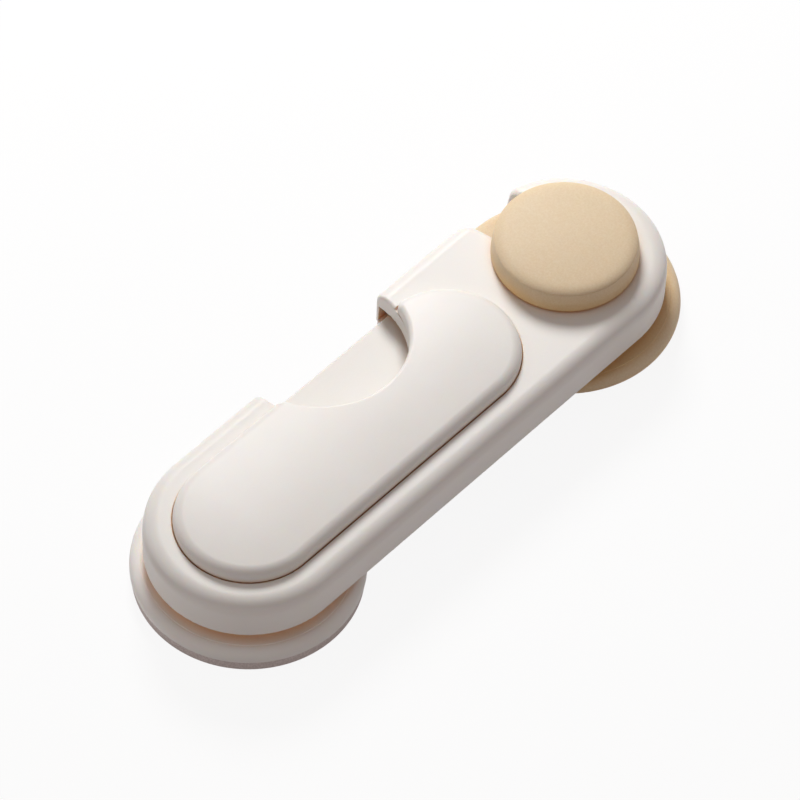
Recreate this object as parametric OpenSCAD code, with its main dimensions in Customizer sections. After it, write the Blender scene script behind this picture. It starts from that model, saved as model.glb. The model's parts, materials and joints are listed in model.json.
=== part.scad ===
// Cabinet safety lock: an arm that turns on a stuck-down swivel base and hooks round the
// neck of a stuck-down mushroom post. A thumb lever in the side of the arm frees the hook.
// Origin: the swivel axis on the mounting plane. X runs along the arm, Z points up.

/* [Layout] */
// Distance from the swivel axis to the post axis
axis_d = 86.7; // [80:0.1:100]
// Thickness of both adhesive pads
pad_t = 3; // [1:0.1:4]
// Height of both round bases' edges above their pads
disc_h = 2.3; // [1.8:0.1:3.2]
// Rounding of the bases' outer edges
disc_edge_r = 2; // [0.4:0.1:2.2]

/* [Swivel base] */
// Diameter of the swivel base
base_d = 44.5; // [42:0.5:54]
// Height of the swivel base's raised middle above its pad
base_h = 4.2; // [3.4:0.1:6]
// How far the raised middle runs past the glide ring
middle_edge = 0.4; // [0.2:0.1:1.5]
// How far the swivel pad stays inside the base's edge
swivel_pad_inset = 0.3; // [0.2:0.1:3]
// Diameter of the hub that the arm turns on
hub_d = 22; // [16:0.5:24]
// Width of the glide ring
glide_w = 4; // [2:0.5:5]
// Thickness of the glide ring
glide_t = 0.75; // [0.5:0.05:1.2]
// Thickness of the retaining washer
washer_t = 0.8; // [0.5:0.1:1.2]

/* [Catch] */
// Diameter of the catch base
catch_d = 46; // [42:0.5:54]
// How far the catch pad stays inside the base's edge
catch_pad_inset = 2.4; // [1.8:0.1:4]
// Diameter of the post's neck
neck_d = 10; // [8:0.1:11]
// Diameter of the post's cap
cap_d = 28.6; // [22:0.1:32]
// Thickness of the post's cap
cap_h = 4.5; // [3.8:0.1:6]
// Rounding of the cap's top edge
cap_edge_r = 1.9; // [0.8:0.1:2.2]

/* [Arm] */
// Width of the arm
arm_w = 39.8; // [38:0.1:46]
// Height of the arm without the top cover
arm_h = 9.1; // [8.6:0.1:12]
// Rounding of the arm's top edge
arm_edge_r = 3.2; // [1:0.1:3.6]
// Thickness of the arm's side wall
wall = 1.25; // [1:0.05:1.8]
// Thickness of the arm's roof
roof_t = 2.6; // [1.8:0.1:2.9]
// Thickness of the bottom plate
floor_t = 1.2; // [1:0.1:1.6]
// Wall of the collar round the hub
collar_wall = 2.4; // [1.6:0.1:3]

/* [Thumb notch] */
// Distance of the notch's centre from the swivel axis
notch_x = 38; // [36:0.1:42]
// How far the notch's centre lies inside the arm's side
notch_inset = 1.5; // [0:0.1:4]
// Radius of the notch
notch_r = 16.3; // [14:0.1:17]
// Depth of the lip under the roof round the notch
lip_h = 1.3; // [0.5:0.1:1.4]

/* [Top cover] */
// Gap between the cover's end and the post's cap
cover_gap = 4.65; // [2:0.05:8]
// Width of the top cover
cover_w = 28.5; // [24:0.1:32]
// How far the cover stands above the arm
cover_h = 3.3; // [2.4:0.1:4]
// Rounding of the cover's top edge
cover_edge_r = 2.4; // [0.6:0.1:2.6]
// Wall of the hollow cover
cover_wall = 1.6; // [1.2:0.1:2]
// Depth of the cover's seat in the roof
seat_h = 0.5; // [0.3:0.1:0.8]
// Diameter of the cover's pegs
peg_d = 3; // [2:0.1:4]

/* [Latch lever] */
// Thickness of the lever's plate
lever_t = 2; // [1.4:0.1:2.4]
// How far the pushed edge lies inside the arm's side
push_inset = 3.1; // [2:0.1:4]
// Distance of the lever's pin before the post axis
pivot_dx = 20.7; // [19:0.1:22]
// Distance of the lever's pin from the arm's middle
pivot_dy = 9; // [8:0.1:10]
// Diameter of the lever's pin
pin_d = 3; // [2:0.1:3.6]
// Wall of the lever's boss round the pin
boss_wall = 2.6; // [1.6:0.1:3]
// Diameter of the nose that backs the leaf
nose_d = 2.4; // [1.6:0.1:3]

/* [Springs] */
// Thickness of the catch leaf
leaf_t = 0.5; // [0.3:0.05:0.8]
// Height of the catch leaf
leaf_h = 2.4; // [1.6:0.1:3]
// Diameter of the bump on the catch leaf
bump_d = 3; // [2:0.1:3.6]
// Wire diameter of the return spring
wire_d = 0.6; // [0.4:0.05:0.8]
// Length of the return spring at rest
coil_len = 10; // [8:0.1:11]
// Turns of the return spring
coil_turns = 6; // [4:1:8]

/* [Screws] */
// Thread diameter of the swivel screw
swivel_screw_d = 3; // [2.5:0.1:4]
// Head diameter of the swivel screw
swivel_head_d = 6.8; // [5:0.1:8]
// Head height of the swivel screw
swivel_head_h = 1.8; // [1.2:0.1:2]
// Thread diameter of the cap screw
cap_screw_d = 2.5; // [2:0.1:3]
// Head diameter of the cap screw
cap_head_d = 5.2; // [4:0.1:6]
// Head height of the cap screw
cap_head_h = 1.4; // [1:0.1:1.6]
// Thread diameter of the small screws
small_screw_d = 2.2; // [1.8:0.1:2.6]
// Head diameter of the small screws
small_head_d = 4.2; // [3.4:0.1:4.6]
// Head height of the small screws
small_head_h = 1.1; // [0.8:0.1:1.3]

/* [Clearances] */
// Radial play of a turning fit
turn_gap = 0.05; // [0.02:0.01:0.1]
// Axial play of the arm on its hub
end_gap = 0.2; // [0.1:0.05:0.3]
// Play between the neck and the hook slot
slot_gap = 0.4; // [0.3:0.05:0.6]
// Gap between moving pieces that only pass each other
pass_gap = 0.3; // [0.2:0.05:0.4]
// Gap round pieces that are fitted once
fit_gap = 0.15; // [0.05:0.05:0.25]
// Gap between the arm's roof and the cap
cap_gap = 0.5; // [0.3:0.1:1]
// Gap round a pin, peg or thread in the hole that grips it
grip_gap = 0.02; // [0.01:0.01:0.05]
// Room left under the roof
roof_gap = 0.5; // [0.3:0.1:0.6]

/* [Hidden] */
$fn = 96;
white = "#f5f2ec";
cream = "#f7f0e3";
beige = "#d9bf97";
foam = "#8e8684";
steel = "#bcbfc3";
nylon = "#e9e6dd";
cut = 0.1;                                   // how far a cut runs past the face it opens

arm_r = arm_w / 2;
base_top = pad_t + base_h;
arm_z = base_top + glide_t + turn_gap;
arm_top = arm_z + arm_h;
roof_z = arm_top - roof_t;
floor_top = arm_z + floor_t;
mid_z = (floor_top + roof_z) / 2;            // middle height of the arm's hollow

// Stack on the hub, worked down from the roof
washer_top = roof_z - roof_gap - swivel_head_h;
hub_top = washer_top - washer_t;
collar_top = hub_top - end_gap;
hub_r = hub_d / 2;
bearing_r = hub_r + turn_gap;
collar_r = bearing_r + collar_wall;
washer_lap = 0.6;                            // washer's reach past the collar
washer_r = collar_r + washer_lap;
glide_in = 2;                                // glide ring's distance from the hub
glide_r = hub_r + glide_in + glide_w;
web_t = 2;                                   // plastic left under the swivel screw
swivel_screw_len = washer_top - pad_t - web_t;

// Post and hook slot
neck_r = neck_d / 2;
slot_r = neck_r + slot_gap;
skirt_t = 1.2;
cap_z = arm_top + cap_gap;
tenon_h = 1.7;                               // neck's tenon inside the cap
shoulder_w = 2;                              // neck's shoulder under the cap
tenon_r = neck_r - shoulder_w;
cap_web = 1.2;                               // plastic left over the cap screw
cap_screw_top = cap_z + cap_h - cap_web;
cover_len = axis_d - cap_d / 2 - cover_gap - cover_w / 2;

// Lever
push_y = arm_r - push_inset;
notch_y = arm_r - notch_inset;
lever_lift = 0.4;
lever_z = floor_top + lever_lift;
plate_cover = 2.8;                           // how far the plate runs on past the notch
plate_x0 = notch_x - notch_r - plate_cover;
plate_x1 = notch_x + notch_r + plate_cover;
plate_y0 = notch_y - notch_r - plate_cover;
pivot_x = axis_d - pivot_dx;
pivot_y = -pivot_dy;
pin_r = pin_d / 2;
boss_r = pin_r + boss_wall;
boss_rise = 0.6;                             // lever's boss above its plate
boss_top = lever_z + lever_t + boss_rise;
tab_w = 2.2;                                 // stop tab at the plate's swivel end
pin_z = arm_z + floor_t / 2;
pin_top = roof_z - roof_gap;

// Catch leaf, with its bump behind the neck and the lever's nose behind its free end
leaf_gap = 0.7;
leaf_x = axis_d - slot_r - skirt_t - leaf_gap - leaf_t / 2;
leaf_z = mid_z - leaf_h / 2;
leaf_lean = 3.2;
bump_r = bump_d / 2;
bump_x = axis_d - slot_r - cut;
bump_y = sqrt(pow(neck_r + bump_r + pass_gap, 2) - pow(axis_d - bump_x, 2));
nose_r = nose_d / 2;
nose_y = bump_y + bump_r + nose_r;
nose_x = leaf_x - leaf_t / 2 - pass_gap - nose_r;
leaf_y1 = nose_y + nose_r;
leaf_root = [leaf_x - leaf_lean, pivot_y];
eye_t = 0.6;
leaf_screw_z = floor_top - floor_t / 3;
small_r = small_screw_d / 2;
small_hole_r = small_r + fit_gap;
eye_r = small_head_d / 2 + fit_gap + leaf_t;

// Return spring, between the plate's inner edge and a rib on the bottom plate
coil_x = notch_x + notch_r / 3;
coil_r = (roof_z - floor_top) / 2 - wire_d / 2 - roof_gap;
seat_t = 1.4;
seat_w = 2 * coil_r + wire_d;
coil_y0 = plate_y0 - coil_len;
coil_peg_r = coil_r - wire_d / 2 - pass_gap;
coil_peg_len = 1.8;
coil_rings = 8;
coil_sides = 6;

// Small screws that close the arm, driven from below
floor_boss_wall = 1.2;
floor_boss_r = small_head_d / 2 + floor_boss_wall;
floor_boss_top = arm_z + small_head_h + floor_boss_wall;
boss_step = 0.6;                             // how much slimmer the roof's bosses are
screw_y = arm_r - wall - floor_boss_r;
skirt_x = sqrt(pow(axis_d - slot_r - skirt_t, 2) - pow(screw_y, 2));
screw_places = [
    [notch_x - notch_r / 2, -screw_y],
    [pivot_x - boss_r - floor_boss_r, -screw_y],
    [(plate_x1 + skirt_x) / 2, screw_y],
    [axis_d + slot_r + skirt_t + floor_boss_r + seat_t, pivot_y / 2]
];
small_len = 4.4;
hollow_edge_r = 1;                           // rounding inside the arm's roof
peg_inset = 5;                               // how far the pegs stay inside the cover's edge
peg_y = peg_inset - cover_w / 2;
peg_places = [[peg_y, 0], [notch_x - notch_r, peg_y], [cover_len - peg_inset, peg_y]];

// Half section of a round or long piece with a rounded top edge
module edge_profile(r, h, f) {
    square([r - f, h]);
    square([r, h - f]);
    translate([r - f, h - f]) intersection() {
        circle(f);
        square(f);
    }
}

module soft_disc(r, h, f) {
    rotate_extrude() edge_profile(r, h, min(f, h - cut));
}

// Long bar with round ends and a rounded top edge
module soft_bar(len, r, h, f) {
    rotate([0, 0, 90]) rotate_extrude(angle = 180) edge_profile(r, h, f);
    translate([len, 0, 0]) rotate([0, 0, -90]) rotate_extrude(angle = 180) edge_profile(r, h, f);
    rotate([90, 0, 90]) linear_extrude(len) {
        edge_profile(r, h, f);
        mirror([1, 0]) edge_profile(r, h, f);
    }
}

module plain_bar(len, r, h) {
    linear_extrude(h) {
        circle(r);
        translate([len, 0]) circle(r);
        translate([0, -r]) square([len, 2 * r]);
    }
}

module ring(r_out, r_in, h) {
    difference() {
        cylinder(r = r_out, h = h);
        translate([0, 0, -cut]) cylinder(r = r_in, h = h + 2 * cut);
    }
}

// Screw with a pan head and a cross recess, head down at z = 0, thread up
module pan_screw(d, head_d, head_h, len) {
    recess_w = head_d / 6;
    recess_l = head_d * 0.6;
    difference() {
        union() {
            cylinder(r = head_d / 2, h = head_h);
            translate([0, 0, head_h]) cylinder(r = d / 2, h = len);
        }
        for (turn = [0, 90])
            rotate([0, 0, turn]) translate([-recess_l / 2, -recess_w / 2, -cut])
                cube([recess_l, recess_w, head_h / 2 + cut]);
    }
}

// Plan of the hook slot: an arc about the swivel axis that ends round the neck
module slot_plan(grow) {
    translate([axis_d, 0]) circle(slot_r + grow);
    intersection() {
        difference() {
            circle(axis_d + slot_r + grow);
            circle(axis_d - slot_r - grow);
        }
        translate([axis_d / 2, 0]) square([axis_d, arm_w]);
    }
}

module slot_cut(z, h) {
    translate([0, 0, z]) linear_extrude(h) slot_plan(0);
}

module swivel_pad() {
    color(foam) cylinder(r = base_d / 2 - swivel_pad_inset, h = pad_t);
}

module swivel_base() {
    color(white) difference() {
        union() {
            translate([0, 0, pad_t]) soft_disc(base_d / 2, disc_h, disc_edge_r);
            translate([0, 0, pad_t]) cylinder(r = glide_r + middle_edge, h = base_h);
            translate([0, 0, pad_t]) cylinder(r = hub_r, h = hub_top - pad_t);
        }
        translate([0, 0, washer_top - swivel_screw_len - web_t / 2])
            cylinder(r = swivel_screw_d / 2 + turn_gap, h = hub_top);
    }
}

module glide_ring() {
    color(nylon) translate([0, 0, base_top]) ring(glide_r, glide_r - glide_w, glide_t);
}

module swivel_washer() {
    color(steel) translate([0, 0, hub_top]) ring(washer_r, swivel_screw_d / 2 + fit_gap, washer_t);
}

module swivel_screw() {
    color(steel) translate([0, 0, washer_top + swivel_head_h]) rotate([180, 0, 0])
        pan_screw(swivel_screw_d, swivel_head_d, swivel_head_h, swivel_screw_len);
}

module arm_floor() {
    plate_r = arm_r - wall - fit_gap;
    color(white) difference() {
        union() {
            translate([0, 0, arm_z]) plain_bar(axis_d, plate_r, floor_t);
            translate([0, 0, arm_z]) cylinder(r = collar_r, h = collar_top - arm_z);
            for (at = screw_places)
                translate([at[0], at[1], arm_z]) cylinder(r = floor_boss_r, h = floor_boss_top - arm_z);
            translate([pivot_x, pivot_y, arm_z])
                cylinder(r = boss_r, h = floor_t + lever_lift - turn_gap);
            translate([leaf_root[0], leaf_root[1], arm_z]) cylinder(r = eye_r, h = leaf_z - arm_z);
            translate([coil_x - seat_w / 2, coil_y0 - seat_t, arm_z])
                cube([seat_w, seat_t, roof_z - roof_gap - arm_z]);
            translate([coil_x, coil_y0, mid_z]) rotate([-90, 0, 0])
                cylinder(r = coil_peg_r, h = coil_peg_len);
        }
        translate([0, 0, arm_z - cut]) cylinder(r = bearing_r, h = arm_h);
        // edge set back under the thumb notch
        translate([notch_x - notch_r, push_y + pass_gap, arm_z - cut])
            cube([2 * notch_r, push_inset, floor_t + 2 * cut]);
        slot_cut(arm_z - cut, arm_h);
        for (at = screw_places) translate([at[0], at[1], arm_z - cut]) {
            cylinder(r = small_head_d / 2 + fit_gap, h = small_head_h + fit_gap + cut);
            cylinder(r = small_hole_r, h = arm_h);
        }
        translate([pivot_x, pivot_y, pin_z - cut]) cylinder(r = pin_r + grip_gap, h = arm_h);
        translate([leaf_root[0], leaf_root[1], leaf_screw_z - cut])
            cylinder(r = small_r + grip_gap, h = arm_h);
    }
}

module arm_shell() {
    pin_boss_z = boss_top + pass_gap;
    color(white) difference() {
        union() {
            difference() {
                translate([0, 0, arm_z]) soft_bar(axis_d, arm_r, arm_h, arm_edge_r);
                translate([0, 0, arm_z - cut])
                    soft_bar(axis_d, arm_r - wall, arm_h - roof_t + cut, hollow_edge_r);
            }
            intersection() {
                translate([0, 0, floor_top + fit_gap])
                    linear_extrude(roof_z - floor_top) slot_plan(skirt_t);
                plain_bar(axis_d, arm_r - wall / 2, arm_top);
            }
            intersection() {
                translate([notch_x, notch_y, roof_z - lip_h])
                    cylinder(r = notch_r + wall, h = lip_h + cut);
                plain_bar(axis_d, arm_r - wall / 2, arm_top);
            }
            for (at = screw_places)
                translate([at[0], at[1], floor_boss_top])
                    cylinder(r = floor_boss_r - boss_step, h = roof_z + cut - floor_boss_top);
            translate([pivot_x, pivot_y, pin_boss_z])
                cylinder(r = boss_r - boss_step, h = roof_z + cut - pin_boss_z);
        }
        slot_cut(arm_z - cut, arm_h + 2 * cut);
        translate([notch_x, notch_y, arm_z - cut]) cylinder(r = notch_r, h = arm_h + 2 * cut);
        translate([0, 0, arm_top - seat_h]) plain_bar(cover_len, cover_w / 2 + fit_gap, arm_h);
        for (at = peg_places)
            translate([at[0], at[1], roof_z - cut]) cylinder(r = peg_d / 2 + grip_gap, h = arm_h);
        for (at = screw_places)
            translate([at[0], at[1], floor_boss_top - cut])
                cylinder(r = small_r + grip_gap, h = small_len);
        translate([pivot_x, pivot_y, pin_boss_z - cut])
            cylinder(r = pin_r + grip_gap, h = pin_top - pin_boss_z + 2 * cut);
        // opening that lets the leaf's bump into the slot
        translate([leaf_x, bump_y - bump_r - pass_gap, leaf_z - pass_gap])
            cube([axis_d - leaf_x, bump_d + 2 * pass_gap, leaf_h + 2 * pass_gap]);
    }
}

module top_cover() {
    foot_z = arm_top - seat_h;
    hollow_h = cover_h + seat_h - cover_wall;
    color(white) difference() {
        union() {
            difference() {
                translate([0, 0, foot_z])
                    soft_bar(cover_len, cover_w / 2, cover_h + seat_h, cover_edge_r);
                difference() {
                    translate([0, 0, foot_z - cut])
                        plain_bar(cover_len, cover_w / 2 - cover_wall, hollow_h + cut);
                    translate([notch_x, notch_y, 0])
                        cylinder(r = notch_r + cover_wall, h = arm_top + cover_h);
                }
            }
            for (at = peg_places)
                translate([at[0], at[1], roof_z + fit_gap])
                    cylinder(r = peg_d / 2, h = arm_top + cover_h - cover_wall / 2 - roof_z - fit_gap);
        }
        translate([notch_x, notch_y, 0]) cylinder(r = notch_r, h = arm_top + cover_h + cut);
    }
}

module floor_screws() {
    color(steel) for (at = screw_places)
        translate([at[0], at[1], arm_z + fit_gap])
            pan_screw(small_screw_d, small_head_d, small_head_h, small_len);
}

module lever_pin() {
    color(steel) translate([pivot_x, pivot_y, pin_z]) cylinder(r = pin_r, h = pin_top - pin_z);
}

module lever_plan() {
    polygon([
        [plate_x0, plate_y0],
        [plate_x0, arm_r - wall - pass_gap],
        [plate_x0 + tab_w, arm_r - wall - pass_gap],
        [plate_x0 + tab_w, push_y],
        [plate_x1, push_y],
        [plate_x1, notch_y - notch_r / 2],
        [nose_x, nose_y + nose_r],
        [nose_x, nose_y - nose_r],
        [pivot_x + boss_r, pivot_y],
        [pivot_x - boss_r, pivot_y],
        [coil_x + seat_w / 2 + seat_t, plate_y0]
    ]);
    translate([pivot_x, pivot_y]) circle(boss_r);
}

module latch_lever() {
    color(cream) difference() {
        union() {
            translate([0, 0, lever_z]) linear_extrude(lever_t) lever_plan();
            translate([pivot_x, pivot_y, lever_z]) cylinder(r = boss_r, h = boss_top - lever_z);
            translate([nose_x, nose_y, lever_z]) cylinder(r = nose_r, h = leaf_z + leaf_h - lever_z);
            translate([coil_x - seat_w / 2, plate_y0, lever_z])
                cube([seat_w, seat_t, roof_z - roof_gap - lever_z]);
            translate([coil_x, plate_y0, mid_z]) rotate([90, 0, 0])
                cylinder(r = coil_peg_r, h = coil_peg_len);
        }
        translate([pivot_x, pivot_y, lever_z - cut])
            cylinder(r = pin_r + turn_gap, h = boss_top - lever_z + 2 * cut);
    }
}

// Coil of the return spring: one wire on a helix along Y
coil_steps = coil_turns * coil_rings;
coil_rise = (coil_len - wire_d - 2 * turn_gap) / coil_steps;
function coil_ring(i) = [
    for (s = [0 : coil_sides - 1])
        let (a = 360 * i / coil_rings, b = 360 * s / coil_sides, r = coil_r + wire_d / 2 * cos(b))
        [
            coil_x + r * cos(a),
            coil_y0 + turn_gap + wire_d / 2 + coil_rise * i + wire_d / 2 * sin(b),
            mid_z + r * sin(a)
        ]
];
coil_points = [for (i = [0 : coil_steps]) each coil_ring(i)];
coil_faces = concat(
    [for (s = [1 : coil_sides - 2]) [0, s, s + 1]],
    [
        for (i = [0 : coil_steps - 1], s = [0 : coil_sides - 1])
            let (p = i * coil_sides, q = p + coil_sides, n = (s + 1) % coil_sides)
            each [[p + s, q + s, p + n], [p + n, q + s, q + n]]
    ],
    [
        for (s = [1 : coil_sides - 2])
            let (p = coil_steps * coil_sides)
            [p, p + s + 1, p + s]
    ]
);
echo(coil_gap = coil_rise * coil_rings - wire_d);

module return_spring() {
    color(steel) polyhedron(coil_points, coil_faces);
}

module catch_spring() {
    run = [leaf_x, leaf_y1] - leaf_root;
    lean = atan2(run[1], run[0]);
    color(steel) difference() {
        union() {
            translate([leaf_root[0], leaf_root[1], leaf_z]) cylinder(r = eye_r, h = eye_t);
            translate([leaf_root[0], leaf_root[1], leaf_z]) rotate([0, 0, lean])
                translate([eye_r - leaf_t, -leaf_t / 2, 0])
                    cube([norm(run) - eye_r + leaf_t, leaf_t, leaf_h]);
            translate([leaf_x - leaf_t, bump_y - bump_r / 2, leaf_z])
                cube([bump_x - leaf_x + leaf_t, bump_r, leaf_h]);
            translate([bump_x, bump_y, leaf_z]) cylinder(r = bump_r, h = leaf_h);
        }
        translate([leaf_root[0], leaf_root[1], leaf_z - cut])
            cylinder(r = small_hole_r, h = eye_t + 2 * cut);
    }
}

module leaf_screw() {
    color(steel) translate([leaf_root[0], leaf_root[1], leaf_z + eye_t + small_head_h])
        rotate([180, 0, 0])
            pan_screw(small_screw_d, small_head_d, small_head_h, leaf_z + eye_t - leaf_screw_z);
}

module catch_pad() {
    color(foam) translate([axis_d, 0, 0]) cylinder(r = catch_d / 2 - catch_pad_inset, h = pad_t);
}

module catch_base() {
    color(beige) translate([axis_d, 0, 0]) difference() {
        union() {
            translate([0, 0, pad_t]) soft_disc(catch_d / 2, disc_h, disc_edge_r);
            translate([0, 0, pad_t]) cylinder(r = neck_r, h = cap_z - pad_t);
            translate([0, 0, pad_t]) cylinder(r = tenon_r, h = cap_z + tenon_h - pad_t);
        }
        translate([0, 0, pad_t - cut]) cylinder(r = cap_head_d / 2 + fit_gap, h = cap_head_h + cut);
        translate([0, 0, pad_t - cut]) cylinder(r = cap_screw_d / 2 + fit_gap, h = arm_top + cap_h);
    }
}

module post_cap() {
    color(beige) translate([axis_d, 0, 0]) difference() {
        translate([0, 0, cap_z]) soft_disc(cap_d / 2, cap_h, cap_edge_r);
        translate([0, 0, cap_z - cut]) cylinder(r = tenon_r + grip_gap, h = tenon_h + fit_gap + cut);
        translate([0, 0, cap_z - cut])
            cylinder(r = cap_screw_d / 2 + grip_gap, h = cap_screw_top + fit_gap - cap_z + cut);
    }
}

module cap_screw() {
    color(steel) translate([axis_d, 0, pad_t])
        pan_screw(cap_screw_d, cap_head_d, cap_head_h, cap_screw_top - pad_t - cap_head_h);
}

swivel_pad();
swivel_base();
glide_ring();
swivel_washer();
swivel_screw();
arm_floor();
arm_shell();
top_cover();
floor_screws();
lever_pin();
latch_lever();
return_spring();
catch_spring();
leaf_screw();
catch_pad();
catch_base();
post_cap();
cap_screw();
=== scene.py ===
import json
import math
import time

import bmesh
import bpy
import numpy as np
from mathutils import Matrix, Vector

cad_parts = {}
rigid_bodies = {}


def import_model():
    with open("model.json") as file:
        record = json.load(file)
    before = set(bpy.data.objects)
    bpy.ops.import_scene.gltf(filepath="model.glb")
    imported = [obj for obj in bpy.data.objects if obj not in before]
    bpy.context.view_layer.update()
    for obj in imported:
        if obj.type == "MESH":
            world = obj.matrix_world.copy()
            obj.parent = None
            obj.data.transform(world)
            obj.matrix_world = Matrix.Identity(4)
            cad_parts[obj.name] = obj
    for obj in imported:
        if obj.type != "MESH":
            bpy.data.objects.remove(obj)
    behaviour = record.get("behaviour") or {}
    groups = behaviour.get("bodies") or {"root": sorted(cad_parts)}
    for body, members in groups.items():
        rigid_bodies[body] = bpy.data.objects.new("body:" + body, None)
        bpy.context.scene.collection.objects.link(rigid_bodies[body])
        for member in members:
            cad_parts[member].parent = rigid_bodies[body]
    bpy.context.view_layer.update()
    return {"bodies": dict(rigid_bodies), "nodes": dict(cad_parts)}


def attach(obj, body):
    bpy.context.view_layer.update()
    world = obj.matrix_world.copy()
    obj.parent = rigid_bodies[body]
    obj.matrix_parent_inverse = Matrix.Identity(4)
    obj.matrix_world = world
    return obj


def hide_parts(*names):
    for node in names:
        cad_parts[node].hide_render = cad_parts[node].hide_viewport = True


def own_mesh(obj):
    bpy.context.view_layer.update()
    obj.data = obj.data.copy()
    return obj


startTime = time.time()
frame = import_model()
scene = bpy.context.scene


def say(stage):
    print(f"[{time.time() - startTime:5.1f} s] {stage}")


say("frame loaded, bodies: " + ", ".join(frame["bodies"]))

mm = 0.001
layout = {                                    # levels and places that pieces share, in mm
    "axisX": 86.7,                            # swivel axis to post axis
    "armBottom": 8.0,
    "armTop": 17.1,
    "roofBottom": 14.5,
    "floorTop": 9.2,
    "armR": 19.9,
    "notch": (38.4, 17.7, 16.3),              # centre and radius of the thumb notch
    "slotR": 5.4,
    "pivot": (66.0, -9.0),
    "coverLen": 53.75,
    "coverR": 14.25,
    "coverFoot": 16.6,
    "springAt": (43.433, 11.85),              # x and z of the lever spring's middle line
}


# Fields: negative inside a shape, in mm

def meet(a, b, r):                            # what two shapes share, edge rounded to r
    over = np.hypot(np.maximum(a + r, 0), np.maximum(b + r, 0))
    return np.minimum(np.maximum(a, b) + r, 0) + over - r


def weld(a, b, r):                            # two shapes as one, corner filled to r
    return -meet(-a, -b, r)


def bar(x, y, length, r):
    return np.hypot(x - np.clip(x, 0, length), y) - r


def rod(x, y, place, r):
    return np.hypot(x - place[0], y - place[1]) - r


def between(value, low, high):
    return np.abs(value - (low + high) / 2) - (high - low) / 2


def plate(x, y, corners):                     # any flat outline
    far = np.full(np.shape(x), 1e9)
    side = np.ones(np.shape(x))
    for (ax, ay), (bx, by) in zip(corners, corners[1:] + corners[:1]):
        ex, ey = bx - ax, by - ay
        wx, wy = x - ax, y - ay
        t = np.clip((wx * ex + wy * ey) / (ex * ex + ey * ey), 0, 1)
        far = np.minimum(far, (wx - ex * t) ** 2 + (wy - ey * t) ** 2)
        above, below = y >= ay, y < by
        left = ex * wy > ey * wx
        turn = (above & below & left) | (~above & ~below & ~left)
        side = np.where(turn, -side, side)
    return side * np.sqrt(far)


def hookSlot(x, y):                           # arc about the swivel axis that ends round the neck
    axisX = layout["axisX"]
    arc = np.abs(np.hypot(x, y) - axisX)
    return np.where(y > 0, arc, np.hypot(x - axisX, y)) - layout["slotR"]


def slope(field, points, h=0.01):
    rise = []
    for axis in range(3):
        step = np.zeros(3)
        step[axis] = h
        rise.append(field(*(points + step).T) - field(*(points - step).T))
    return np.stack(rise, 1) / (2 * h)


def skinField(field, low, high, step):        # quads over a field's zero surface
    axes = [np.arange(a - 2 * step, b + 3 * step, step) for a, b in zip(low, high)]
    value = field(*np.meshgrid(*axes, indexing="ij"))
    value = np.where(value == 0, 1e-9, value)
    inside = value < 0
    cells = np.array(value.shape) - 1
    filled = np.zeros(cells, np.int8)
    for i in (0, 1):
        for j in (0, 1):
            for k in (0, 1):
                filled += inside[i:cells[0] + i, j:cells[1] + j, k:cells[2] + k]
    cell = np.argwhere((filled > 0) & (filled < 8))
    number = np.full(cells, -1)
    number[tuple(cell.T)] = np.arange(len(cell))
    total = np.zeros((len(cell), 3))
    hits = np.zeros(len(cell))
    quads = []
    for axis, (side, up) in enumerate(((1, 2), (2, 0), (0, 1))):
        along, across, lift = np.eye(3, dtype=int)[[axis, side, up]]
        for corner in (0 * along, across, lift, across + lift):
            a = value[tuple((cell + corner).T)]
            b = value[tuple((cell + corner + along).T)]
            cross = (a < 0) != (b < 0)
            share = a[cross] / (a[cross] - b[cross])
            total[cross] += corner + share[:, None] * along
            hits[cross] += 1
        near = inside[:cells[0] + 1 - along[0], :cells[1] + 1 - along[1], :cells[2] + 1 - along[2]]
        far = inside[along[0]:, along[1]:, along[2]:]
        edge = np.argwhere(near != far)
        round4 = (-across - lift, -lift, 0 * along, -across)
        quad = np.stack([number[tuple((edge + move).T)] for move in round4], 1)
        outward = near[tuple(edge.T)]
        quad[~outward] = quad[~outward][:, ::-1]
        quads.append(quad)
    points = (cell + total / hits[:, None]) * step + [a[0] for a in axes]
    for turn in range(5):                     # pull each point onto the surface
        rise = slope(field, points)
        miss = np.clip(field(*points.T), -step / 2, step / 2)
        points = points - (miss / np.maximum((rise * rise).sum(1), 0.2))[:, None] * rise
    return points, np.concatenate(quads)


def fieldPiece(name, field, low, high, look, shade=None):
    points, quads = skinField(field, low, high, look["grid"])
    mesh = bpy.data.meshes.new(name)
    mesh.from_pydata((points * mm).tolist(), [], quads.tolist())
    piece = bpy.data.objects.new(name, mesh)
    scene.collection.objects.link(piece)
    thin = piece.modifiers.new("thin", "DECIMATE")
    thin.ratio = look["keep"]
    piece.data = flatten(piece)
    piece.modifiers.remove(thin)
    bpy.data.meshes.remove(mesh)
    mesh = piece.data
    mesh.name = name
    dropFlat(mesh)
    mesh.polygons.foreach_set("use_smooth", [True] * len(mesh.polygons))
    places = np.array([v.co for v in mesh.vertices]) / mm
    rise = slope(shade or field, places)
    rise /= np.maximum(np.linalg.norm(rise, axis=1), 1e-6)[:, None]
    mesh.normals_split_custom_set_from_vertices(rise.tolist())
    say(f"{name}: {len(mesh.polygons)} faces")
    return piece


def flatten(piece):                           # the piece's mesh with its modifiers in it
    bpy.context.view_layer.update()
    depsgraph = bpy.context.evaluated_depsgraph_get()
    return bpy.data.meshes.new_from_object(piece.evaluated_get(depsgraph))


def dropFlat(mesh):                           # no faces without area
    work = bmesh.new()
    work.from_mesh(mesh)
    bmesh.ops.dissolve_degenerate(work, dist=1e-8, edges=work.edges)
    work.to_mesh(mesh)
    work.free()


# Turned pieces

creaseAngle = math.radians(32)                # edges sharper than this stay sharp


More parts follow.
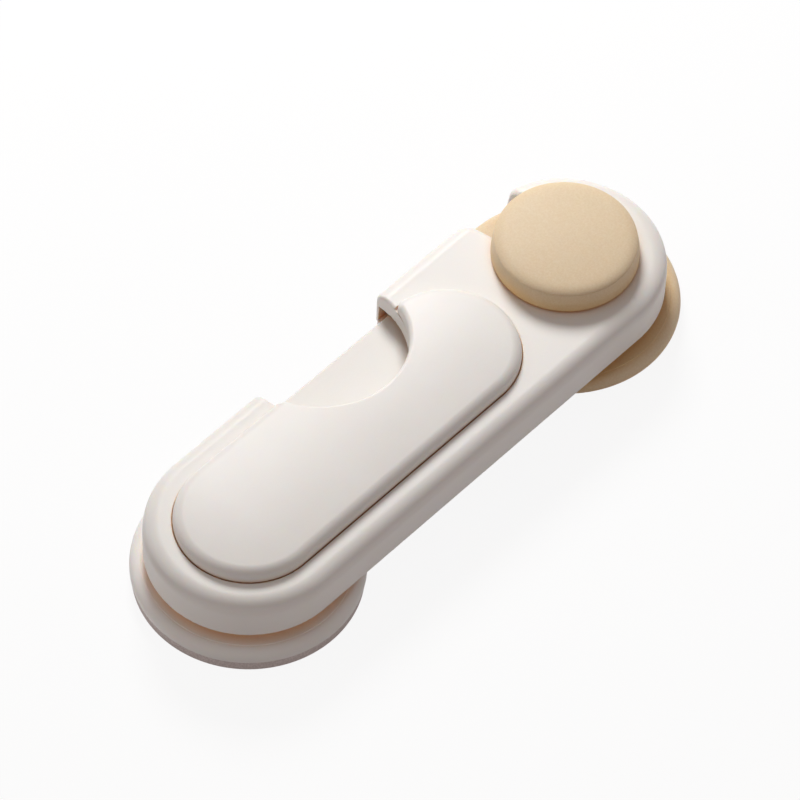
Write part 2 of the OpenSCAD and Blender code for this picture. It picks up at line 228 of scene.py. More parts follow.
def roundPath(corners, steps=8):              # (r, z) or (r, z, rounding) to a smooth path
    path = []
    for i, corner in enumerate(corners):
        here = Vector(corner[:2])
        rounding = corner[2] if len(corner) > 2 else 0
        if not rounding:
            path.append(here)
            continue
        back = (Vector(corners[i - 1][:2]) - here).normalized()
        on = (Vector(corners[(i + 1) % len(corners)][:2]) - here).normalized()
        half = back.angle(on) / 2
        reach = rounding / math.tan(half)
        centre = here + (back + on).normalized() * (rounding / math.sin(half))
        first, last = here + back * reach - centre, here + on * reach - centre
        turn = first.angle_signed(last)
        for s in range(steps + 1):
            path.append(centre + Matrix.Rotation(-turn * s / steps, 2) @ first)
    joined = path[:1]
    for here in path[1:]:
        if (here - joined[-1]).length > 1e-5:    # arcs that run into each other share a point
            joined.append(here)
    return joined


def turnedPiece(name, corners, centreX, closed=False, segments=144, steps=8):
    path = roundPath(corners, steps)
    mesh = bmesh.new()
    rings = []
    for r, z in path:
        if r < 1e-6:
            rings.append([mesh.verts.new((centreX * mm, 0, z * mm))])
            continue
        ring = []
        for s in range(segments):
            a = math.tau * s / segments
            ring.append(mesh.verts.new(((centreX + r * math.cos(a)) * mm, r * math.sin(a) * mm, z * mm)))
        rings.append(ring)
    pairs = list(zip(rings, rings[1:])) + ([(rings[-1], rings[0])] if closed else [])
    for one, two in pairs:
        for s in range(segments):
            t = (s + 1) % segments
            if len(one) == 1:
                mesh.faces.new((one[0], two[t], two[s]))
            elif len(two) == 1:
                mesh.faces.new((one[s], one[t], two[0]))
            else:
                mesh.faces.new((one[s], one[t], two[t], two[s]))
    bmesh.ops.recalc_face_normals(mesh, faces=mesh.faces)
    return meshPiece(name, mesh)


def domeNormals(mesh, centreX, look):         # normals of a top that look a little domed
    tilted = []
    for corner, loop in zip(mesh.corner_normals, mesh.loops):
        normal, place = corner.vector.copy(), mesh.vertices[loop.vertex_index].co
        out = Vector((place.x - centreX, place.y, 0)) / mm
        if normal.z > 0.5:                    # the top, not the side
            lean = look["dome"] * out.length + look["roll"] * max(0, out.length - look["rollFrom"])
            normal = (normal / normal.z + out.normalized() * lean).normalized()
        tilted.append(normal)
    mesh.normals_split_custom_set(tilted)


def meshPiece(name, mesh):
    data = bpy.data.meshes.new(name)
    mesh.to_mesh(data)
    mesh.free()
    data.polygons.foreach_set("use_smooth", [True] * len(data.polygons))
    data.set_sharp_from_angle(angle=creaseAngle)
    piece = bpy.data.objects.new(name, data)
    scene.collection.objects.link(piece)
    say(f"{name}: {len(data.polygons)} faces")
    return piece


# Finishes

def newFinish(name):
    finish = bpy.data.materials.new(name)
    finish.use_nodes = True
    nodes, links = finish.node_tree.nodes, finish.node_tree.links
    place = nodes.new("ShaderNodeTexCoord").outputs["Object"]
    return finish, nodes, links, nodes["Principled BSDF"], place


def noiseOn(nodes, links, place, scale, detail, roughness=0.55):
    noise = nodes.new("ShaderNodeTexNoise")
    noise.inputs["Scale"].default_value = scale
    noise.inputs["Detail"].default_value = detail
    noise.inputs["Roughness"].default_value = roughness
    links.new(place, noise.inputs["Vector"])
    return noise.outputs["Fac"]


def spread(nodes, links, value, low, high, fromLow=0.3, fromHigh=0.7):
    span = nodes.new("ShaderNodeMapRange")
    span.inputs["From Min"].default_value = fromLow
    span.inputs["From Max"].default_value = fromHigh
    span.inputs["To Min"].default_value = low
    span.inputs["To Max"].default_value = high
    links.new(value, span.inputs["Value"])
    return span.outputs["Result"]


def tint(nodes, links, share, one, two):
    mix = nodes.new("ShaderNodeMix")
    mix.data_type = "RGBA"
    for socket, colour in ((6, one), (7, two)):
        if isinstance(colour, tuple):
            mix.inputs[socket].default_value = (*colour, 1)
        else:
            links.new(colour, mix.inputs[socket])
    links.new(share, mix.inputs[0])
    return mix.outputs[2]


def bumpOn(nodes, links, shader, height, strength, depth):
    bump = nodes.new("ShaderNodeBump")
    bump.inputs["Strength"].default_value = strength
    bump.inputs["Distance"].default_value = depth
    links.new(height, bump.inputs["Height"])
    links.new(bump.outputs["Normal"], shader.inputs["Normal"])


plasticLook = {                               # the same for every moulded piece
    "cloudDetail": 3,
    "grainDetail": 2,
    "paintedShadeSamples": 8,
    "ior": 1.46,
    "glowScale": 0.0012,
    "bumpDepth": 0.00006,
    "fleckSpan": (0.35, 0.75),
    "roughSpan": (-0.05, 0.07),
}


def mouldedPlastic(name, look):
    finish, nodes, links, shader, place = newFinish(name)
    cloud = noiseOn(nodes, links, place, look["cloudScale"], plasticLook["cloudDetail"])
    grain = noiseOn(nodes, links, place, look["grainScale"], plasticLook["grainDetail"])
    colour = tint(nodes, links, spread(nodes, links, cloud, 0, 1), look["colour"], look["colourAlt"])
    fleck = spread(nodes, links, grain, 0, look["fleck"], *plasticLook["fleckSpan"])
    colour = tint(nodes, links, fleck, colour, look["fleckColour"])
    # painted shade: the base colour goes warm brown where ambient occlusion finds a spot closed in, in
    # creases, gaps and under overhangs
    hollow = nodes.new("ShaderNodeAmbientOcclusion")
    hollow.samples = plasticLook["paintedShadeSamples"]
    hollow.inputs["Distance"].default_value = look["paintedShadeReach"]
    paintedShadeShare = spread(nodes, links, hollow.outputs["AO"], look["paintedShadeShare"], 0, *look["paintedShadeSpan"])
    colour = tint(nodes, links, paintedShadeShare, colour, look["paintedShadeColour"])
    links.new(colour, shader.inputs["Base Color"])
    rough = spread(nodes, links, grain, *(look["rough"] + part for part in plasticLook["roughSpan"]))
    links.new(rough, shader.inputs["Roughness"])
    bumpOn(nodes, links, shader, grain, look["bump"], plasticLook["bumpDepth"])
    shader.inputs["IOR"].default_value = plasticLook["ior"]
    shader.inputs["Specular IOR Level"].default_value = look["shine"]
    shader.inputs["Subsurface Weight"].default_value = look["glow"]
    shader.inputs["Subsurface Radius"].default_value = look["glowRadius"]
    shader.inputs["Subsurface Scale"].default_value = plasticLook["glowScale"]
    return finish


whiteLook = {
    "colour": (0.81, 0.795, 0.75),
    "colourAlt": (0.84, 0.825, 0.79),
    "fleck": 0.10,
    "fleckColour": (0.93, 0.92, 0.90),
    "grainScale": 3200,
    "cloudScale": 45,
    # painted shade: orange-brown in the white's creases, gaps and the shadow under the cap
    "paintedShadeReach": 0.0045,
    "paintedShadeShare": 0.8,
    "paintedShadeSpan": (0.15, 0.75),              # how closed in a spot is where the painted shade is full and gone
    "paintedShadeColour": (0.90, 0.50, 0.19),
    "rough": 0.42,
    "bump": 0.12,
    "shine": 0.4,
    "glow": 0.25,
    "glowRadius": (1.0, 0.55, 0.30),
}
# painted light: the disc is the arm's white plastic made paler, standing in for light bounced into the
# arm's shade
discPaintedLightLook = dict(whiteLook, colour=(0.88, 0.865, 0.815), colourAlt=(0.91, 0.895, 0.855))
creamLook = dict(whiteLook, colour=(0.77, 0.745, 0.70), colourAlt=(0.79, 0.775, 0.735))
beigeLook = {
    "colour": (0.74, 0.59, 0.39),
    "colourAlt": (0.77, 0.63, 0.43),
    "fleck": 0.45,
    "fleckColour": (0.85, 0.74, 0.57),
    "grainScale": 2600,
    "cloudScale": 50,
    # painted shade: deep warm brown on the beige where it is closed in, the cap's side by the arm and the
    # base's floor
    "paintedShadeReach": 0.006,
    "paintedShadeShare": 0.85,
    "paintedShadeSpan": (0.1, 1.0),
    "paintedShadeColour": (0.80, 0.45, 0.08),
    "rough": 0.42,
    "bump": 0.4,
    "shine": 0.1,
    "glow": 0.15,
    "glowRadius": (1.0, 0.5, 0.25),
}
nylonLook = dict(creamLook, rough=0.34, bump=0.04, fleck=0.04)

whitePlastic = mouldedPlastic("whitePlastic", whiteLook)
discPaintedLightPlastic = mouldedPlastic("discPaintedLightPlastic", discPaintedLightLook)
creamPlastic = mouldedPlastic("creamPlastic", creamLook)
beigePlastic = mouldedPlastic("beigePlastic", beigeLook)
nylonPlain = mouldedPlastic("nylonPlain", nylonLook)

foamLook = {
    "dark": (0.62, 0.565, 0.545),
    "pale": (0.82, 0.76, 0.735),
    "cell": 2600,
    "cloudScale": 300,
    "cloudDetail": 4,
    "cellSpan": (0.05, 0.45),
    "rough": (0.75, 0.95),
    "bump": 0.4,
    "bumpDepth": 0.0001,
}


def closedCellFoam(name, look):
    finish, nodes, links, shader, place = newFinish(name)
    cells = nodes.new("ShaderNodeTexVoronoi")
    cells.inputs["Scale"].default_value = look["cell"]
    links.new(place, cells.inputs["Vector"])
    cloud = noiseOn(nodes, links, place, look["cloudScale"], look["cloudDetail"])
    both = nodes.new("ShaderNodeMath")
    both.operation = "MULTIPLY"
    links.new(cells.outputs["Distance"], both.inputs[0])
    links.new(cloud, both.inputs[1])
    share = spread(nodes, links, both.outputs[0], 0, 1, *look["cellSpan"])
    links.new(tint(nodes, links, share, look["dark"], look["pale"]), shader.inputs["Base Color"])
    links.new(spread(nodes, links, cloud, *look["rough"]), shader.inputs["Roughness"])
    bumpOn(nodes, links, shader, cells.outputs["Distance"], look["bump"], look["bumpDepth"])
    return finish


steelLook = {
    "colour": (0.56, 0.57, 0.60),
    "worn": (0.68, 0.68, 0.69),
    "streak": 900,
    "streakDetail": 4,
    "fine": 5400,
    "fineDetail": 2,
    "rough": (0.24, 0.40),
    "bump": 0.15,
    "bumpDepth": 0.00003,
}


def zincSteel(name, look):
    finish, nodes, links, shader, place = newFinish(name)
    cloud = noiseOn(nodes, links, place, look["streak"], look["streakDetail"])
    fine = noiseOn(nodes, links, place, look["fine"], look["fineDetail"])
    share = spread(nodes, links, cloud, 0, 1)
    links.new(tint(nodes, links, share, look["colour"], look["worn"]), shader.inputs["Base Color"])
    links.new(spread(nodes, links, fine, *look["rough"]), shader.inputs["Roughness"])
    bumpOn(nodes, links, shader, fine, look["bump"], look["bumpDepth"])
    shader.inputs["Metallic"].default_value = 1
    return finish


greyFoam = closedCellFoam("greyFoam", foamLook)
zincPlate = zincSteel("zincPlate", steelLook)
say("finishes made")


def finishPiece(piece, finish, body, slot, *nodes):
    piece.data.materials.clear()
    piece.data.materials.append(finish)
    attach(piece, body)
    if nodes:
        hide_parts(*nodes)
    return piece


# Arm: hollow shell with the hook's slot, the thumb notch and the seat of the cover

armLook = {
    "wall": 1.25,
    "edgeR": 3.3,
    "footR": 0.25,
    "ceilingR": 1.0,
    "skirt": 1.2,                             # wall round the slot
    "lip": 1.3,                               # lip under the roof round the notch
    "seatR": 0.1,                             # edge of the cover's seat
    "floorGap": 0.15,                         # from the skirt down to the arm's floor
    "mouthR": 3.8,                            # plan rounding of the mouth's corners
    "mouthFootR": 2.1,                        # the same at the arm's floor, which it covers
    "mouthFadeFrom": 0.3,                     # above the floor, where it begins to grow
    "mouthFade": 4.5,
    "mouthEdgeR": 1.5,
    "mouthOut": 0.6,                          # how far outside the wall the rounding starts
    "windowR": 2.2,                           # plan rounding where the notch leaves the side
    "windowEdgeR": 0.6,
    "windowOut": 0.5,
    "screws": [(29.85, -15.35), (58.6, -15.35), (67.857, 15.35), (98.0, -4.5)],
    "screwBoss": (2.7, 10.3),                 # radius and lower end
    "screwHole": (1.12, 14.6),                # radius and upper end
    "pinBoss": (3.5, 12.5),
    "pinHole": (1.52, 14.1),
    "bumpGap": ((79.15, 86.7), (2.2, 5.8), (10.35, 13.35)),    # room for the leaf's bump: x, y, z
    "grid": 0.3,
    "keep": 0.42,
}


def armField(x, y, z):
    look = armLook
    length, armR = layout["axisX"], layout["armR"]
    slot = hookSlot(x, y)
    notch = rod(x, y, layout["notch"], layout["notch"][2])
    upper = np.clip((z - layout["floorTop"] - look["mouthFadeFrom"]) / look["mouthFade"], 0, 1)
    mouthR = look["mouthFootR"] + upper * (look["mouthR"] - look["mouthFootR"])
    mouth = meet(bar(x, y, length, armR + look["mouthOut"]), -slot, mouthR)
    window = meet(bar(x, y, length, armR + look["windowOut"]), -notch, look["windowR"])
    out = meet(bar(x, y, length, armR), z - layout["armTop"], look["edgeR"])
    out = meet(out, mouth, look["mouthEdgeR"])
    out = meet(out, window, look["windowEdgeR"])
    out = meet(out, layout["armBottom"] - z, look["footR"])
    hollow = meet(bar(x, y, length, armR - look["wall"]), z - layout["roofBottom"], look["ceilingR"])
    inner = np.maximum(slot - look["skirt"], layout["floorTop"] + look["floorGap"] - z)
    inner = np.minimum(inner, np.maximum(notch - look["wall"], layout["roofBottom"] - look["lip"] - z))
    bossR, bossZ = look["screwBoss"]
    for place in look["screws"]:
        inner = np.minimum(inner, np.maximum(rod(x, y, place, bossR), bossZ - z))
    bossR, bossZ = look["pinBoss"]
    inner = np.minimum(inner, np.maximum(rod(x, y, layout["pivot"], bossR), bossZ - z))
    core = np.maximum(out, -np.maximum(hollow, -inner))
    holeR, holeZ = look["pinHole"]
    holes = np.maximum(rod(x, y, layout["pivot"], holeR), z - holeZ)
    holeR, holeZ = look["screwHole"]
    for place in look["screws"]:
        holes = np.minimum(holes, np.maximum(rod(x, y, place, holeR), z - holeZ))
    (x0, x1), (y0, y1), (z0, z1) = look["bumpGap"]
    gap = np.maximum(np.maximum(between(x, x0, x1), between(y, y0, y1)), between(z, z0, z1))
    core = np.maximum(core, -np.minimum(holes, gap))
    seat = bar(x, y, layout["coverLen"], layout["coverR"])
    return meet(core, -np.maximum(seat, layout["coverFoot"] - z), look["seatR"])


armR = layout["armR"]
armShell = fieldPiece(
    "armShell", armField, (-armR, -armR, layout["armBottom"]),
    (layout["axisX"] + armR, armR, layout["armTop"]), armLook)
finishPiece(armShell, whitePlastic, "arm", "white_plastic", "arm_shell")


# Cover on the arm

coverLook = {
    "top": 20.4,
    "crown": 0.9,
    "shadeCrown": 1.5,                        # crown that the normals show
    "edgeR": 2.2,
    "notch": (39.2, 19.3, 17.8),
    "notchBlendR": 1.0,                       # where its circle meets the arm's
    "notchR": 2.0,
    "notchOut": 0.4,
    "notchEdgeR": 1.0,
    "grid": 0.25,
    "keep": 0.5,
}


def coverField(x, y, z, crown="crown"):
    look = coverLook
    length, coverR = layout["coverLen"], layout["coverR"]
    side = bar(x, y, length, coverR)
    drop = look[crown] * ((side + coverR) / coverR) ** 2
    body = meet(side, z - look["top"] + drop, look["edgeR"])
    own, arms = (rod(x, y, place, place[2]) for place in (look["notch"], layout["notch"]))
    notch = meet(own, arms, look["notchBlendR"])
    window = meet(bar(x, y, length, coverR + look["notchOut"]), -notch, look["notchR"])
    return np.maximum(meet(body, window, look["notchEdgeR"]), layout["coverFoot"] - z)


def coverShade(x, y, z):                      # its normals show the soft crown a little stronger
    share = (bar(x, y, layout["coverLen"], 0) / layout["coverR"]) ** 2
    lift = (coverLook["shadeCrown"] - coverLook["crown"]) * share
    return coverField(x, y, z - lift, "shadeCrown")


coverR = layout["coverR"]
topCover = fieldPiece(
    "topCover", coverField, (-coverR, -coverR, layout["coverFoot"]),
    (layout["coverLen"] + coverR, coverR, coverLook["top"]), coverLook, coverShade)
finishPiece(topCover, whitePlastic, "arm", "white_plastic", "top_cover")


# Thumb lever: plate, boss on the pin, nose behind the leaf, seat and peg of the spring

leverLook = {
    "z": (9.6, 11.6),
    "outline": [(18.9, -0.7), (18.9, 18.35), (21.1, 18.35), (21.1, 16.8), (57.1, 16.8), (57.1, 10.25),
                (77.4, 7.9), (77.4, 5.5), (70.1, -9.0), (61.9, -9.0), (46.98, -0.7)],
    "edgeR": 0.35,
    "partEdgeR": 0.3,                         # boss, nose, seat and peg
    "weldR": 0.15,
    "bossR": 4.1,
    "bossTop": 12.2,
    "bore": 1.55,
    "nose": (77.4, 6.699),
    "noseR": 1.2,
    "noseTop": 13.05,
    "seatX": (41.28, 45.58),
    "seatY": (-0.7, 0.7),
    "seatTop": 14.0,
    "pegR": 0.7,
    "pegLen": 1.8,
    "pegIn": 0.5,                             # how far it starts inside the seat
    "box": ((18, -14, 9.5), (79, 19, 14.1)),
    "grid": 0.3,
    "keep": 0.4,
}


def leverField(x, y, z):
    look = leverLook
    low, top = look["z"]
    pivot, edgeR = layout["pivot"], look["partEdgeR"]
    body = np.minimum(plate(x, y, look["outline"]), rod(x, y, pivot, look["bossR"]))
    body = meet(body, between(z, low, top), look["edgeR"])
    boss = meet(rod(x, y, pivot, look["bossR"]), between(z, low, look["bossTop"]), edgeR)
    nose = meet(rod(x, y, look["nose"], look["noseR"]), between(z, low, look["noseTop"]), edgeR)
    seat = meet(between(x, *look["seatX"]), between(y, *look["seatY"]), edgeR)
    seat = meet(seat, between(z, low, look["seatTop"]), edgeR)
    start = look["seatY"][0]
    reach = between(y, start - look["pegLen"], start + look["pegIn"])
    peg = meet(rod(x, z, layout["springAt"], look["pegR"]), reach, edgeR)
    for part in (boss, nose, seat, peg):
        body = weld(body, part, look["weldR"])
    return np.maximum(body, -rod(x, y, pivot, look["bore"]))


latchLever = fieldPiece("latchLever", leverField, *leverLook["box"], leverLook)
finishPiece(latchLever, creamPlastic, "lever", "cream_plastic", "latch_lever")


# Swivel base and its pad

baseLook = {
    "profile": [
        (0, 3.0), (21.98, 3.0), (21.98, 2.6), (22.25, 2.6, 0.1), (22.25, 5.2, 2.05), (20.1, 5.2, 0.04),
        (20.1, 5.3, 0.05), (17.4, 5.3, 0.4), (17.4, 7.2, 0.3), (11.0, 7.2, 0.4), (11.0, 11.4, 0.3),
        (1.55, 11.4), (1.55, 4.0), (0, 4.0),
    ],
    "pad": [(0, 0), (21.95, 0, 0.15), (21.95, 3.0), (0, 3.0)],
}
swivelBase = turnedPiece("swivelBase", baseLook["profile"], 0, segments=180)
finishPiece(swivelBase, discPaintedLightPlastic, "bases", "white_plastic", "swivel_base")
swivelPad = turnedPiece("swivelPad", baseLook["pad"], 0)
finishPiece(swivelPad, greyFoam, "bases", "foam_pad", "swivel_pad")


# Post: base with its neck, cap, pad

postLook = {
    "profile": [
        (1.4, 4.4), (2.75, 4.4), (2.75, 3.0), (22.99, 3.0, 0.1), (22.99, 5.2, 2.05), (20.9, 5.2, 0.04),
        (20.9, 5.3, 0.05), (5.0, 5.3, 0.8), (5.0, 17.6, 0.2), (3.0, 17.6), (3.0, 19.3, 0.3), (1.4, 19.3),
    ],
    "cap": [                                  # hole, underside, side and the step below the top
        (0, 21.05), (1.27, 21.05), (1.27, 19.45), (3.02, 19.45), (3.02, 17.6),
        (14.3, 17.6, 0.15), (14.15, 19.6, 5.0), (13.75, 21.7, 0.12), (13.62, 21.7, 0.03),
    ],
    "capTop": 22.1,
    "capTopR": 13.58,
    "capSag": 0.068,                          # how far the top falls from its middle to its edge
    "capRim": 0.232,                          # and how much more where the edge rolls off
    "capRimPower": 28,
    "capRings": 12,
    "capRingSpread": 1.7,                     # over 1 sets the rings closer at the edge
    "dome": 0.0095,                           # lean of the cap's normals for each mm from its middle
    "rollFrom": 11.2,                         # from here they lean more, to the edge
    "roll": 0.13,
    "pad": [(0, 0), (20.6, 0, 0.15), (20.6, 3.0, 0.15), (0, 3.0)],
}


def capCrown(look):                           # path over the top, from its edge to its middle
    path = []
    for ring in range(look["capRings"] + 1):
        share = 1 - (ring / look["capRings"]) ** look["capRingSpread"]
        fall = look["capSag"] * share ** 2 + look["capRim"] * share ** look["capRimPower"]
        path.append((look["capTopR"] * share, look["capTop"] - fall))
    return path


catchBase = turnedPiece("catchBase", postLook["profile"], layout["axisX"], closed=True, segments=180)
finishPiece(catchBase, beigePlastic, "bases", "beige_plastic", "catch_base")
capPath = postLook["cap"] + capCrown(postLook)
postCap = turnedPiece("postCap", capPath, layout["axisX"], segments=180, steps=12)
domeNormals(postCap.data, layout["axisX"] * mm, postLook)
finishPiece(postCap, beigePlastic, "bases", "beige_plastic", "post_cap")
catchPad = turnedPiece("catchPad", postLook["pad"], layout["axisX"])
finishPiece(catchPad, greyFoam, "bases", "foam_pad", "catch_pad")


# Screws under the arm and the lever's spring, from node trees

def nodeTree(name, inputs):
    tree = bpy.data.node_groups.new(name, "GeometryNodeTree")
    for label, kind in inputs:
        tree.interface.new_socket(label, in_out="INPUT", socket_type="NodeSocket" + kind)
    tree.interface.new_socket("Geometry", in_out="OUTPUT", socket_type="NodeSocketGeometry")
    start = tree.nodes.new("NodeGroupInput")
    return tree, start.outputs


def endTree(tree, shape):                     # realize and finish what the tree made
    real = tree.nodes.new("GeometryNodeRealizeInstances")
    finish = tree.nodes.new("GeometryNodeSetMaterial")
    end = tree.nodes.new("NodeGroupOutput")
    tree.links.new(shape, real.inputs["Geometry"])
    tree.links.new(real.outputs["Geometry"], finish.inputs["Geometry"])
    finish.inputs["Material"].default_value = zincPlate
    tree.links.new(finish.outputs["Geometry"], end.inputs["Geometry"])


def growPiece(name, base, tree, values):      # the tree's result as a plain mesh
    piece = bpy.data.objects.new(name, base)
    scene.collection.objects.link(piece)
    modifier = piece.modifiers.new(tree.name, "NODES")
    modifier.node_group = tree
    for item in tree.interface.items_tree:
        if item.in_out == "INPUT" and item.name in values:
            modifier[item.identifier] = values[item.name]
    piece.data = flatten(piece)
    piece.modifiers.remove(modifier)
    bpy.data.meshes.remove(base)
    piece.data.name = name
    say(f"{name}: {len(piece.data.polygons)} faces")
    return piece


screwLook = {
    "headR": 2.1,
    "headH": 1.1,
    "headEdge": 0.5,
    "underR": 0.08,                           # rounding of the head's rim next to the plate
    "length": 4.4,
    "threadR": 1.1,
    "rootR": 0.86,
    "plain": 0.25,                            # from the head to the first turn
    "pitch": 0.55,
    "crest": 0.45,                            # place in a turn, as a share of the pitch
    "valley": 0.9,
    "tip": 0.3,
    "recess": (2.5, 0.7, 0.55),               # length, width and depth of the cross
    "bottom": 8.15,
    "turnSeed": 7,
}


def screwMesh(look):                          # head at the origin, thread along Z
    headR, headH, rootR, pitch = (look[part] for part in ("headR", "headH", "rootR", "pitch"))
    end = headH + look["length"]
    corners = [(0, 0), (headR, 0, look["headEdge"]), (headR, headH, look["underR"]), (rootR, headH)]
    z = headH + look["plain"]
    while z < end - pitch:
        corners.append((rootR, z))
        corners.append((look["threadR"], z + pitch * look["crest"]))
        corners.append((rootR, z + pitch * look["valley"]))
        z += pitch
    corners += [(rootR, end - look["tip"]), (rootR - look["tip"], end), (0, end)]
    screw = turnedPiece("screw", corners, 0, segments=40, steps=4)
    length, width, depth = look["recess"]
    cutter = bmesh.new()
    for size in ((length, width), (width, length)):
        made = bmesh.ops.create_cube(cutter, size=1)
        scale = Matrix.Diagonal((size[0] * mm, size[1] * mm, 2 * depth * mm, 1))
        bmesh.ops.transform(cutter, matrix=scale, verts=made["verts"])
    cross = meshPiece("cross", cutter)
    cut = screw.modifiers.new("recess", "BOOLEAN")
    cut.object = cross
    cut.solver = "EXACT"
    cut.use_self = True
    mesh = flatten(screw)
    for spare in (screw, cross):
        old = spare.data
        bpy.data.objects.remove(spare)
        bpy.data.meshes.remove(old)
    mesh.set_sharp_from_angle(angle=creaseAngle)
    return mesh


tree, given = nodeTree("screwSet", [("Geometry", "Geometry"), ("Screw", "Object"), ("Turn seed", "Int")])
source = tree.nodes.new("GeometryNodeObjectInfo")
turned = tree.nodes.new("FunctionNodeRandomValue")
turned.data_type = "FLOAT_VECTOR"
turned.inputs["Min"].default_value = (0, 0, 0)
turned.inputs["Max"].default_value = (0, 0, math.tau)
placed = tree.nodes.new("GeometryNodeInstanceOnPoints")
tree.links.new(given["Geometry"], placed.inputs["Points"])
tree.links.new(given["Screw"], source.inputs["Object"])
tree.links.new(given["Turn seed"], turned.inputs["Seed"])
tree.links.new(source.outputs["Geometry"], placed.inputs["Instance"])
tree.links.new(turned.outputs["Value"], placed.inputs["Rotation"])
endTree(tree, placed.outputs["Instances"])

screw = bpy.data.objects.new("screw", screwMesh(screwLook))
places = bpy.data.meshes.new("screwPlaces")
places.from_pydata([(x * mm, y * mm, screwLook["bottom"] * mm) for x, y in armLook["screws"]], [], [])
floorScrews = growPiece("floorScrews", places, tree, {"Screw": screw, "Turn seed": screwLook["turnSeed"]})
bpy.data.objects.remove(screw)
finishPiece(floorScrews, zincPlate, "arm", "steel", "floor_screws")

coilLook = {
    "turns": 6,
    "coilR": 1.85,
    "wireR": 0.3,
    "turnSteps": 28,
    "wireSides": 14,
    "y": (-10.35, -1.05),                     # middle of the wire at both ends
    "seatY": -10.7,
    "pressed": 0.744,                         # share of its length that is left when the lever is in
}
tree, given = nodeTree("coilSpring", [
    ("Turns", "Float"), ("Coil radius", "Float"), ("Wire radius", "Float"), ("Length", "Float"),
    ("Start", "Vector")])
helix = tree.nodes.new("GeometryNodeCurveSpiral")
helix.inputs["Resolution"].default_value = coilLook["turnSteps"]
helix.inputs["Reverse"].default_value = True
laid = tree.nodes.new("GeometryNodeTransform")
laid.inputs["Rotation"].default_value = (-math.pi / 2, 0, 0)
ring = tree.nodes.new("GeometryNodeCurvePrimitiveCircle")
ring.inputs["Resolution"].default_value = coilLook["wireSides"]
wire = tree.nodes.new("GeometryNodeCurveToMesh")
wire.inputs["Fill Caps"].default_value = True
smooth = tree.nodes.new("GeometryNodeSetShadeSmooth")
for one, two in (
        (given["Turns"], helix.inputs["Rotations"]), (given["Coil radius"], helix.inputs["Start Radius"]),
        (given["Coil radius"], helix.inputs["End Radius"]), (given["Length"], helix.inputs["Height"]),
        (given["Start"], laid.inputs["Translation"]), (given["Wire radius"], ring.inputs["Radius"]),
        (helix.outputs["Curve"], laid.inputs["Geometry"]), (laid.outputs["Geometry"], wire.inputs["Curve"]),
        (ring.outputs["Curve"], wire.inputs["Profile Curve"]),
        (wire.outputs["Mesh"], smooth.inputs["Geometry"])):
    tree.links.new(one, two)
endTree(tree, smooth.outputs["Geometry"])
springX, springZ = layout["springAt"]
returnSpring = growPiece("returnSpring", bpy.data.meshes.new("coilStart"), tree, {
    "Turns": coilLook["turns"],
    "Coil radius": coilLook["coilR"] * mm,
    "Wire radius": coilLook["wireR"] * mm,
    "Length": (coilLook["y"][1] - coilLook["y"][0]) * mm,
    "Start": (springX * mm, coilLook["y"][0] * mm, springZ * mm)})
finishPiece(returnSpring, zincPlate, "arm", "steel", "return_spring")
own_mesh(returnSpring)


# Finishes of the solids that stay as they are

keptNodes = {
    "arm_floor": whitePlastic,
    "glide_ring": nylonPlain,
    "swivel_washer": zincPlate,
    "swivel_screw": zincPlate,
    "lever_pin": zincPlate,
    "catch_spring": zincPlate,
    "leaf_screw": zincPlate,
    "cap_screw": zincPlate,
}
for node, finish in keptNodes.items():
    mesh = frame["nodes"][node].data
    mesh.materials.clear()
    mesh.materials.append(finish)


# Stage: white floor that keeps a shadow, soft light, camera

stageLook = {
    "floorSize": 4.0,
    "floorDrop": 0.00005,                     # keeps it off the pads' faces
    "floorColour": (0.83, 0.80, 0.79),
    "seenColour": (0.96, 0.96, 0.96),
    "whiteShare": 0.90,                       # how much of the seen floor is plain white
    "ambient": 0.285,
    "ambientColour": (1.0, 0.87, 0.85),
    "key": {"at": (0.267, 0.292, 0.352), "size": 0.19, "watts": 2.02},
    "side": {"at": (-0.524, 0.569, 0.687), "size": 0.5, "watts": 0.55},
    "aim": (0.045, 0.0, 0.012),
}


def seenRays(nodes, links):                   # 1 for rays that show the background itself
    path = nodes.new("ShaderNodeLightPath")
    either = path.outputs["Is Camera Ray"]
    for ray in ("Is Glossy Ray", "Is Transmission Ray"):
        most = nodes.new("ShaderNodeMath")
        most.operation = "MAXIMUM"
        links.new(either, most.inputs[0])
        links.new(path.outputs[ray], most.inputs[1])
        either = most.outputs[0]
    return either


def paleFloor(look):
    finish = bpy.data.materials.new("paleFloor")
    finish.use_nodes = True
    nodes, links = finish.node_tree.nodes, finish.node_tree.links
    nodes.clear()
    lit = nodes.new("ShaderNodeBsdfDiffuse")
    lit.inputs["Color"].default_value = (*look["floorColour"], 1)
    pale = nodes.new("ShaderNodeBsdfDiffuse")
    pale.inputs["Color"].default_value = (*look["seenColour"], 1)
    white = nodes.new("ShaderNodeEmission")
    white.inputs["Color"].default_value = (1, 1, 1, 1)
    white.inputs["Strength"].default_value = 1
    shown = nodes.new("ShaderNodeMixShader")
    shown.inputs[0].default_value = look["whiteShare"]
    links.new(pale.outputs[0], shown.inputs[1])
    links.new(white.outputs[0], shown.inputs[2])
    pick = nodes.new("ShaderNodeMixShader")
    links.new(seenRays(nodes, links), pick.inputs[0])
    links.new(lit.outputs[0], pick.inputs[1])
    links.new(shown.outputs[0], pick.inputs[2])
    out = nodes.new("ShaderNodeOutputMaterial")
    links.new(pick.outputs[0], out.inputs["Surface"])
    return finish


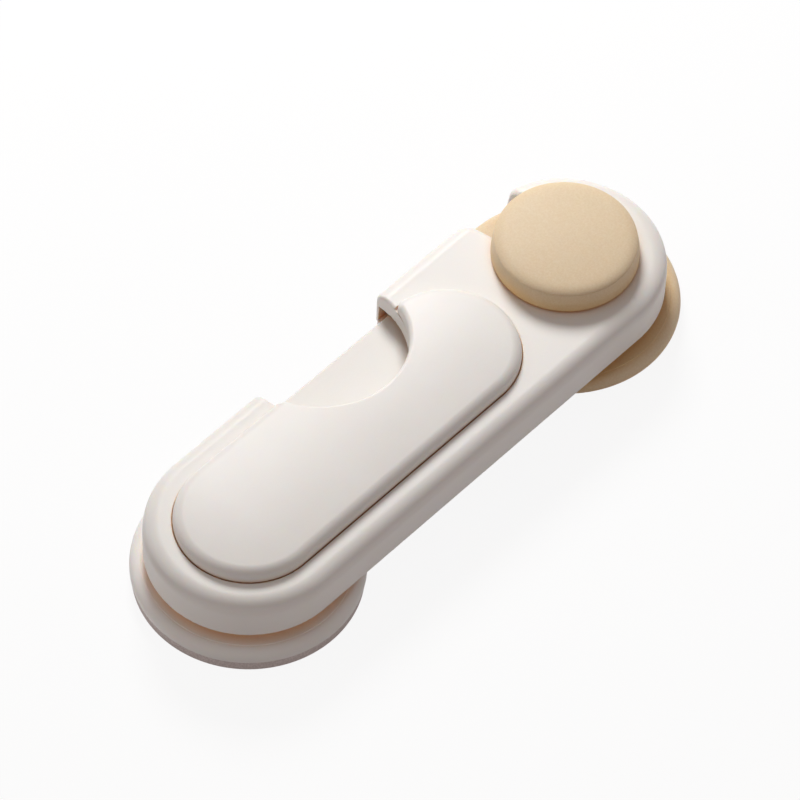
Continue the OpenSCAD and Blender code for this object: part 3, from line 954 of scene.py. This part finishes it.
half = stageLook["floorSize"] / 2
floorCorners = [(-half, -half, 0), (half, -half, 0), (half, half, 0), (-half, half, 0)]
floorMesh = bpy.data.meshes.new("floor")
floorMesh.from_pydata(floorCorners, [], [(0, 1, 2, 3)])
floorMesh.materials.append(paleFloor(stageLook))
floor = bpy.data.objects.new("floor", floorMesh)
floor.location.z = -stageLook["floorDrop"]
scene.collection.objects.link(floor)

world = bpy.data.worlds.new("studio")
scene.world = world
world.use_nodes = True
skyNodes, skyLinks = world.node_tree.nodes, world.node_tree.links
skyNodes.clear()
soft = skyNodes.new("ShaderNodeBackground")
soft.inputs["Color"].default_value = (*stageLook["ambientColour"], 1)
soft.inputs["Strength"].default_value = stageLook["ambient"]
white = skyNodes.new("ShaderNodeBackground")
white.inputs["Color"].default_value = (1, 1, 1, 1)
skyPick = skyNodes.new("ShaderNodeMixShader")
skyOut = skyNodes.new("ShaderNodeOutputWorld")
skyLinks.new(seenRays(skyNodes, skyLinks), skyPick.inputs[0])
skyLinks.new(soft.outputs[0], skyPick.inputs[1])
skyLinks.new(white.outputs[0], skyPick.inputs[2])
skyLinks.new(skyPick.outputs[0], skyOut.inputs["Surface"])

for name in ("key", "side"):
    lamp = stageLook[name]
    data = bpy.data.lights.new(name, "AREA")
    data.shape = "DISK"
    data.size = lamp["size"]
    data.energy = lamp["watts"]
    light = bpy.data.objects.new(name, data)
    light.location = lamp["at"]
    toAim = Vector(stageLook["aim"]) - Vector(lamp["at"])
    light.rotation_euler = toAim.to_track_quat("-Z", "Y").to_euler()
    scene.collection.objects.link(light)

cameraLook = {
    "at": (-0.470562, -0.450682, 0.952820),
    "right": (0.686427, -0.726768, 0.025047),
    "up": (0.578251, 0.566391, 0.587220),
    "lens": 277.308,
    "sensor": 36,
    "clip": (0.05, 20),
}
cameraData = bpy.data.cameras.new("camera")
cameraData.sensor_width = cameraLook["sensor"]
cameraData.lens = cameraLook["lens"]
cameraData.clip_start, cameraData.clip_end = cameraLook["clip"]
camera = bpy.data.objects.new("camera", cameraData)
right, up = Vector(cameraLook["right"]), Vector(cameraLook["up"])
turn = Matrix((right, up, right.cross(up))).transposed()
camera.matrix_world = Matrix.Translation(cameraLook["at"]) @ turn.to_4x4()
scene.collection.objects.link(camera)
scene.camera = camera
scene.view_settings.view_transform = "Standard"

bpy.context.view_layer.update()
say("ready")
